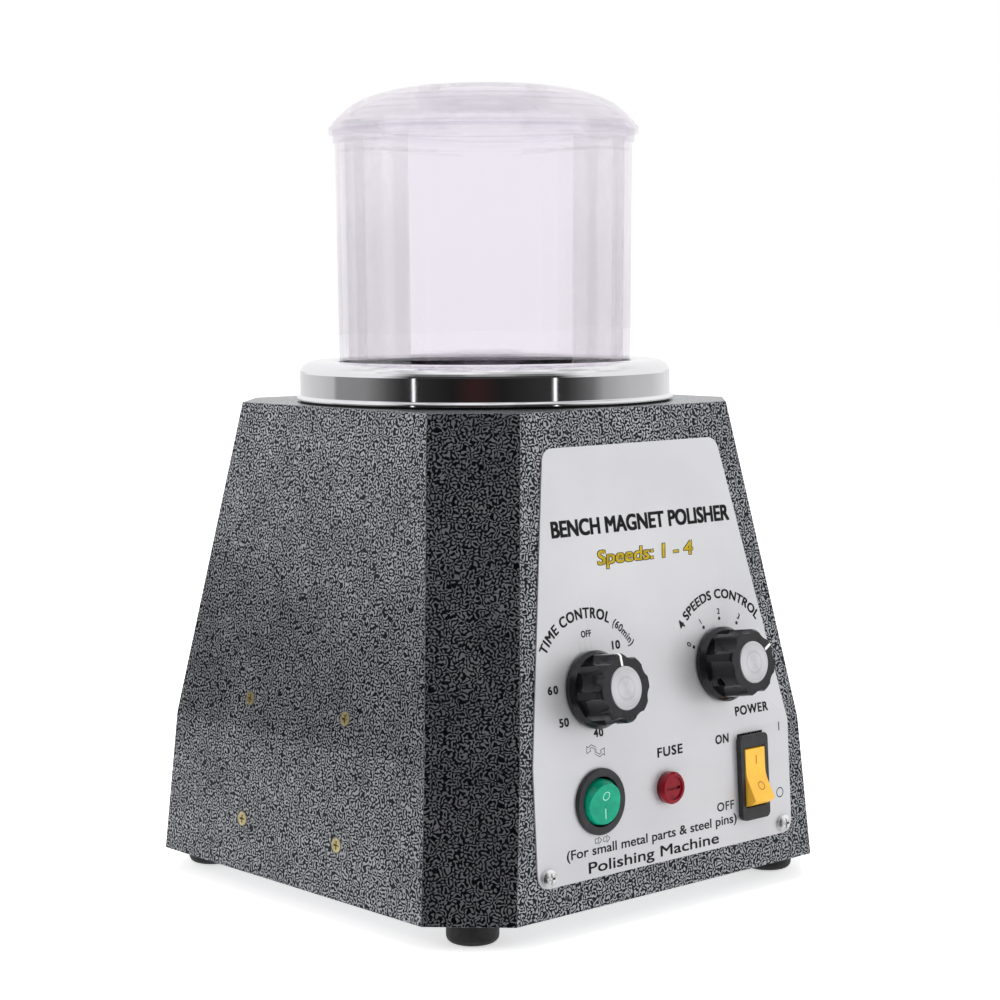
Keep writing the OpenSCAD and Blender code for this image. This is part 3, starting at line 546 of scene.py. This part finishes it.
def disc(ink, place, x, y, radius, hole=0.0, sides=32, lift=1.0):
    ring = [(math.cos(2 * math.pi * i / sides), math.sin(2 * math.pi * i / sides)) for i in range(sides)]
    outer = [((x + radius * c) * MM, (y + radius * s) * MM, 0.0) for c, s in ring]
    if not hole:
        ink.add(place, outer, [list(range(sides))], lift)
        return
    inner = [((x + hole * c) * MM, (y + hole * s) * MM, 0.0) for c, s in ring]
    faces = [[i, (i + 1) % sides, sides + (i + 1) % sides, sides + i] for i in range(sides)]
    ink.add(place, outer + inner, faces, lift)


def bar(ink, place, x, y, w, h, lift=1.0):
    ink.add(place, [((x + a * w / 2) * MM, (y + b * h / 2) * MM, 0.0) for a, b in
                    ((-1, -1), (1, -1), (1, 1), (-1, 1))], [[0, 1, 2, 3]], lift)


def stroke(ink, place, points, width):
    """A thin line through the points, in millimetres."""
    for (x0, y0), (x1, y1) in zip(points, points[1:]):
        length = math.hypot(x1 - x0, y1 - y0)
        nx, ny = -(y1 - y0) / length * width / 2, (x1 - x0) / length * width / 2
        corners = ((x0 + nx, y0 + ny), (x0 - nx, y0 - ny), (x1 - nx, y1 - ny), (x1 + nx, y1 + ny))
        ink.add(place, [(a * MM, b * MM, 0.0) for a, b in corners], [[0, 1, 2, 3]])


black_ink = varied("ink_black", (0.010, 0.010, 0.012), 0.2, 300.0, (0.35, 0.5))
yellow_ink = varied("ink_yellow", (0.90, 0.68, 0.02), 0.06, 300.0, (0.35, 0.5))
white_ink = varied("ink_white", (0.86, 0.86, 0.84), 0.04, 300.0, (0.35, 0.5))
mint_ink = varied("ink_mint", (0.30, 0.72, 0.58), 0.06, 300.0, (0.35, 0.5))
orange_ink = varied("ink_orange", (0.50, 0.20, 0.02), 0.08, 300.0, (0.35, 0.5))


def print_panel():
    black = Print("panel_print_black", black_ink, "panel_aluminium")
    yellow = Print("panel_print_yellow", yellow_ink, "panel_aluminium")
    write(black, slope, "BENCH MAGNET POLISHER", 0.9, 71.4, 5.3, 81.2, 0.6)
    write(black, slope, "Speeds: 1 - 4", 0.5, 61.2, 4.9, 44.2, 0.85, 0.12)
    write(yellow, slope, "Speeds: 1 - 4", 0.5, 61.2, 4.4, 43.6, 0.28, 0.12, lift=2.0)
    dial = slope.shifted(-29.8 * MM, 21.6 * MM)
    write_arc(black, dial, "TIME CONTROL", 21.4, 147, 62, 3.2, 0.3, 1.12)
    write_arc(black, dial, "(60min)", 21.4, 57, 30, 2.5, 0.16, 1.1)
    write(black, slope, "OFF", -29.9, 38.1, 2.1, 4.4, 0.2, 0, 1.08)
    for label, x, y, cap, spacing in (("10", -17.5, 33.3, 2.75, 1.1), ("50", -43.5, 11.9, 2.7, 1.1),
                                      ("40", -29.5, 7.0, 2.6, 1.15), ("60", -46.6, 22.3, 2.6, 1.3),
                                      ("20", -13.3, 21.5, 2.6, 1.2), ("30", -18.2, 9.9, 2.6, 1.1)):
        write(black, slope, label, x, y, cap, None, 0.3, 0, spacing)
    speeds = slope.shifted(30.9 * MM, 21.6 * MM)
    write_arc(black, speeds, "4 SPEEDS CONTROL", 21.9, 143, 37, 2.9, 0.3, 1.06)
    for i, angle in enumerate((152, 121, 90, 58, 27)):
        a = math.radians(angle)
        disc(black, speeds, 15.2 * math.cos(a), 15.2 * math.sin(a), 0.6, sides=16)
        write(black, speeds.turned(angle - 90), str(i), 0, 17.6, 1.9, None, 0.12)
    write(black, slope, "POWER", 41.3, 5.6, 3.1, 16.1, 0.3, 0, 1.15)
    write(black, skirt, "FUSE", 1.3, -2.9, 3.1, 11.6, 0.3, 0, 1.15)
    write(black, skirt, "ON", 25.8, -2.45, 3.0, 6.4, 0.28, 0, 1.1)
    write(black, skirt, "OFF", 26.3, -24.7, 2.9, 8.2, 0.16, 0, 1.1)
    bar(black, skirt, 53.8, -1.9, 0.5, 2.9)
    disc(black, skirt, 53.1, -24.2, 1.75, 1.4)
    write(black, skirt, "(For small metal parts & steel pins)", -7.3, -29.3, 3.0, 77.3, 0.16)
    write(black, skirt, "Polishing Machine", -7.2, -34.6, 3.5, 59.3, 0.2)
    turn_marks(black)
    black.build()
    yellow.build()


def turn_marks(ink):
    """Two small outlined arrows over the direction switch, and a pair of short ones under it."""
    above = slope.shifted(-31.6 * MM, 1.6 * MM)
    for way in (-1, 1):
        hooked = [(0.3, -0.9), (0.2, 0.5), (1.6, 1.3), (2.4, 0.7), (2.0, 0.2), (3.9, -0.4), (3.6, 1.9),
                  (3.1, 1.3), (1.6, 2.1), (-0.3, 1.1)]
        stroke(ink, above, [(-way * x, way * y) for x, y in hooked], 0.2)
    below = skirt.shifted(-30.0 * MM, -26.6 * MM)
    for x in (-2.6, 1.0):
        box = [(x - 0.9, 0.7), (x - 0.9, -0.7), (x + 0.5, -0.7), (x + 0.5, 0.7), (x - 0.9, 0.7)]
        stroke(ink, below, box, 0.2)
        stroke(ink, below, [(x + 0.5, 1.2), (x + 1.9, 0.0), (x + 0.5, -1.2)], 0.2)


# ---------- marks on the rockers and knobs ----------

# of each rocker: its turn at rest, the tilt of its faces, and their height over the pivot
ROCKERS = {"power": (-12.8, 12.8, 3.0), "direction": (7.5, 7.5, 3.7)}
FACE_CURVE = 9.0     # radius where the two faces meet
# the pointer line over a knob's face, chamfer and side, as distances out and up
KNOB_PROFILE = ((6.95, 14.52), (10.15, 14.52), (10.86, 13.72), (10.92, 12.0))


def rocker_face(switch, half):
    """Plane of one half of a rocker, its origin where the half would meet the middle."""
    rest, tilt, height = ROCKERS[switch]
    pivot = Plane(joints[switch + "_rock"]["pos_m"], skirt.n).tipped(rest)
    a = math.radians(tilt)
    back = FACE_CURVE * math.sin(a)
    face = pivot.shifted(0, half * back * MM, (height + FACE_CURVE * (1 - math.cos(a))) * MM)
    face = face.tipped(half * tilt)
    return face.shifted(0, -half * back * MM)


def mark_rockers():
    orange = Print("power_rocker_marks", orange_ink, "rocker_yellow", "power_rocker")
    bar(orange, rocker_face("power", 1), 0.4, 5.0, 0.55, 2.9, lift=2.0)
    disc(orange, rocker_face("power", -1), 0.6, -3.9, 1.55, 1.15, lift=2.0)
    orange.build()
    mint = Print("direction_rocker_marks", mint_ink, "rocker_green", "direction_rocker")
    disc(mint, rocker_face("direction", 1), 0.2, 2.5, 1.5, 1.2, lift=2.0)
    bar(mint, rocker_face("direction", -1), 0.2, -3.2, 0.45, 3.2, lift=2.0)
    mint.build()


POINTER_HALF = 0.45      # half the width of a knob's pointer line
TIMER_POINTS = 5         # where each knob's pointer stands at rest, anticlockwise from up, in degrees
SPEED_POINTS = -60


def pointer_line(name, place, angle):
    """White line over a knob's top and down its pointer lobe."""
    ink = Print(name + "_pointer", white_ink, "black_bakelite", name)
    points = [(x * MM, r * MM, h * MM) for r, h in KNOB_PROFILE for x in (-POINTER_HALF, POINTER_HALF)]
    faces = [[2 * i, 2 * i + 1, 2 * i + 3, 2 * i + 2] for i in range(len(KNOB_PROFILE) - 1)]
    ink.add(place.turned(angle), points, faces, lift=2.0)
    ink.build()


# ---------- studio ----------

FLOOR_REACH = 6.0        # half the floor's width
FLOOR_GAP = 0.0001       # the floor lies this far under the feet


def add_scene():
    data = bpy.data.meshes.new("floor")
    r = FLOOR_REACH
    data.from_pydata([(-r, -r, 0), (r, -r, 0), (r, r, 0), (-r, r, 0)], [], [[0, 1, 2, 3]])
    floor = bpy.data.objects.new("floor", data)
    floor.location.z = cad_box[0][2] - FLOOR_GAP
    scene.collection.objects.link(floor)
    mat, tree, bsdf = new_material("floor")
    bsdf.inputs["Roughness"].default_value = 0.9
    bsdf.inputs["Specular IOR Level"].default_value = 0.0
    link(tree, ramp(tree, noise(tree, 3.0, 2.0), [(0.3, grey(0.86)), (0.7, grey(0.88))]),
         bsdf.inputs["Base Color"])
    bsdf.inputs["Emission Color"].default_value = (1, 1, 1, 1)
    bsdf.inputs["Emission Strength"].default_value = 0.55
    data.materials.append(mat)
    floor.visible_glossy = False
    floor.visible_transmission = False
    add_card()
    add_world()
    area_light("top", (0.15, 0.25, 1.5), (0, 0, 0.15), 1.6, 1.2, 14)
    area_light("left", (-1.5, 0.55, 0.75), (0, 0, 0.12), 1.0, 1.2, 12)
    area_light("right", (1.1, -1.35, 0.8), (0, 0, 0.12), 1.0, 1.2, 10)


CARD_AT = Vector((-0.26, 0.23, 0.087))
CARD_ACROSS = Vector((0.10, 0.078, 0))   # from the card's middle to its side
CARD_UP = Vector((0, 0, 0.038))          # from its middle to its top


def add_card():
    """A dark card left of the machine that only glossy rays meet.

    It is fitted to one view: it darkens the middle of the left wall there. The chromed ring and any
    other shiny piece can mirror it from other sides.
    """
    middle, across, up = CARD_AT, CARD_ACROSS, CARD_UP
    data = bpy.data.meshes.new("dark_card")
    data.from_pydata([middle - across - up, middle + across - up, middle + across + up,
                      middle - across + up], [], [[0, 1, 2, 3]])
    mat, tree, bsdf = new_material("dark_card")
    link(tree, ramp(tree, noise(tree, 9.0, 2.0), [(0.3, grey(0.015)), (0.7, grey(0.03))]),
         bsdf.inputs["Base Color"])
    bsdf.inputs["Roughness"].default_value = 0.9
    data.materials.append(mat)
    card = bpy.data.objects.new("dark_card", data)
    scene.collection.objects.link(card)
    card.visible_camera = False
    card.visible_diffuse = False
    card.visible_transmission = False
    card.visible_shadow = False


def area_light(name, place, target, w, h, power):
    data = bpy.data.lights.new(name, "AREA")
    data.shape = "RECTANGLE"
    data.size = w
    data.size_y = h
    data.energy = power
    obj = bpy.data.objects.new(name, data)
    scene.collection.objects.link(obj)
    obj.location = place
    obj.rotation_mode = "QUATERNION"
    obj.rotation_quaternion = (Vector(target) - Vector(place)).to_track_quat("-Z", "Y")
    obj.visible_glossy = False
    obj.visible_transmission = False


def by_height(tree, parts, low, high, under, over):
    """Blend from one colour to another as a direction climbs between two heights."""
    height = node(tree, "ShaderNodeMapRange", interpolation_type="SMOOTHSTEP")
    link(tree, parts.outputs["Z"], height.inputs["Value"])
    height.inputs["From Min"].default_value = low
    height.inputs["From Max"].default_value = high
    blend = node(tree, "ShaderNodeMix", data_type="RGBA")
    link(tree, height.outputs[0], blend.inputs["Factor"])
    for socket, colour in ((blend.inputs[6], under), (blend.inputs[7], over)):
        if isinstance(colour, tuple):
            socket.default_value = colour
        else:
            link(tree, colour, socket)
    return blend.outputs[2]


WHITE_SHARE = 0.86       # how much of what shows through the clear plastic is white


def add_world():
    """White to the camera, nearly white through the clear plastic, and a studio to reflections.

    The studio's horizon isn't plain light. Its stops were worked out from how bright the ring is
    across the reference picture, so they carry data from that picture.
    """
    world = bpy.data.worlds.new("studio")
    scene.world = world
    world.use_nodes = True
    tree = world.node_tree
    tree.nodes.clear()
    way = node(tree, "ShaderNodeTexCoord").outputs["Generated"]
    turn = node(tree, "ShaderNodeVectorRotate", rotation_type="Z_AXIS")
    link(tree, way, turn.inputs["Vector"])
    # turns the direction from the object to the camera onto +X
    turn.inputs["Angle"].default_value = math.pi / 2 + CAMERA_YAW
    parts = node(tree, "ShaderNodeSeparateXYZ")
    link(tree, turn.outputs[0], parts.inputs[0])
    azimuth = node(tree, "ShaderNodeMath", operation="ARCTAN2")
    link(tree, parts.outputs["Y"], azimuth.inputs[0])
    link(tree, parts.outputs["X"], azimuth.inputs[1])
    share = node(tree, "ShaderNodeMapRange")
    link(tree, azimuth.outputs[0], share.inputs["Value"])
    share.inputs["From Min"].default_value = -math.pi
    share.inputs["From Max"].default_value = math.pi
    # shares of a turn, from behind round by the left of the view to the front and the right,
    # with grey levels read off the ring in the reference picture, made linear and rounded
    low_walls = ramp(tree, share.outputs[0], [
        (0.0, grey(0.85)), (0.15, grey(0.60)), (0.203, grey(0.50)), (0.214, grey(0.27)),
        (0.283, grey(0.23)), (0.333, grey(0.077)), (0.358, grey(0.03)), (0.375, grey(0.03)),
        (0.377, grey(1.8)), (0.380, grey(1.8)), (0.382, grey(0.028)), (0.447, grey(0.013)),
        (0.483, (0.035, 0.015, 0.015)), (0.53, grey(0.013)), (0.60, grey(0.03)), (0.617, grey(0.03)),
        (0.619, grey(1.8)), (0.622, grey(1.8)), (0.624, grey(0.03)), (0.642, grey(0.035)),
        (0.667, grey(0.08)), (0.692, grey(0.15)), (0.717, grey(0.35)), (0.778, grey(0.5)),
        (0.85, grey(0.57)), (0.914, grey(0.78)), (1.0, grey(0.85))])
    high_walls = ramp(tree, share.outputs[0], [
        (0.0, grey(0.95)), (0.315, grey(0.86)), (0.37, grey(0.045)), (0.63, grey(0.045)),
        (0.685, grey(0.86)), (1.0, grey(0.95))])
    under_band = by_height(tree, parts, -0.115, -0.085, high_walls, low_walls)
    walls = by_height(tree, parts, -0.005, 0.035, under_band, high_walls)
    ceiling = ramp(tree, noise(tree, 3.2, 2.0, 0.5, way), [(0.40, grey(0.58)), (0.58, grey(0.98))])
    domed = by_height(tree, parts, 0.50, 0.80, walls, ceiling)
    studio_colour = by_height(tree, parts, -0.60, -0.36, (0.62, 0.62, 0.63, 1), domed)
    studio = node(tree, "ShaderNodeBackground", Strength=1.0)
    link(tree, studio_colour, studio.inputs["Color"])
    white = node(tree, "ShaderNodeBackground", Strength=1.0)
    white.inputs["Color"].default_value = (1, 1, 1, 1)
    rays = node(tree, "ShaderNodeLightPath")
    mix = node(tree, "ShaderNodeMixShader")
    # what is seen through the clear plastic is nearly white too
    seen = node(tree, "ShaderNodeMath", operation="MULTIPLY_ADD")
    link(tree, rays.outputs["Is Transmission Ray"], seen.inputs[0])
    seen.inputs[1].default_value = WHITE_SHARE
    link(tree, rays.outputs["Is Camera Ray"], seen.inputs[2])
    link(tree, seen.outputs[0], mix.inputs["Fac"])
    link(tree, studio.outputs[0], mix.inputs[1])
    link(tree, white.outputs[0], mix.inputs[2])
    out = node(tree, "ShaderNodeOutputWorld")
    link(tree, mix.outputs[0], out.inputs["Surface"])


add_camera()
dress_nodes()
soften_edges()
print_panel()
mark_rockers()
pointer_line("timer_knob", timer_place, TIMER_POINTS)
pointer_line("speed_knob", speed_place, SPEED_POINTS)
add_scene()
scene.view_settings.view_transform = "Standard"
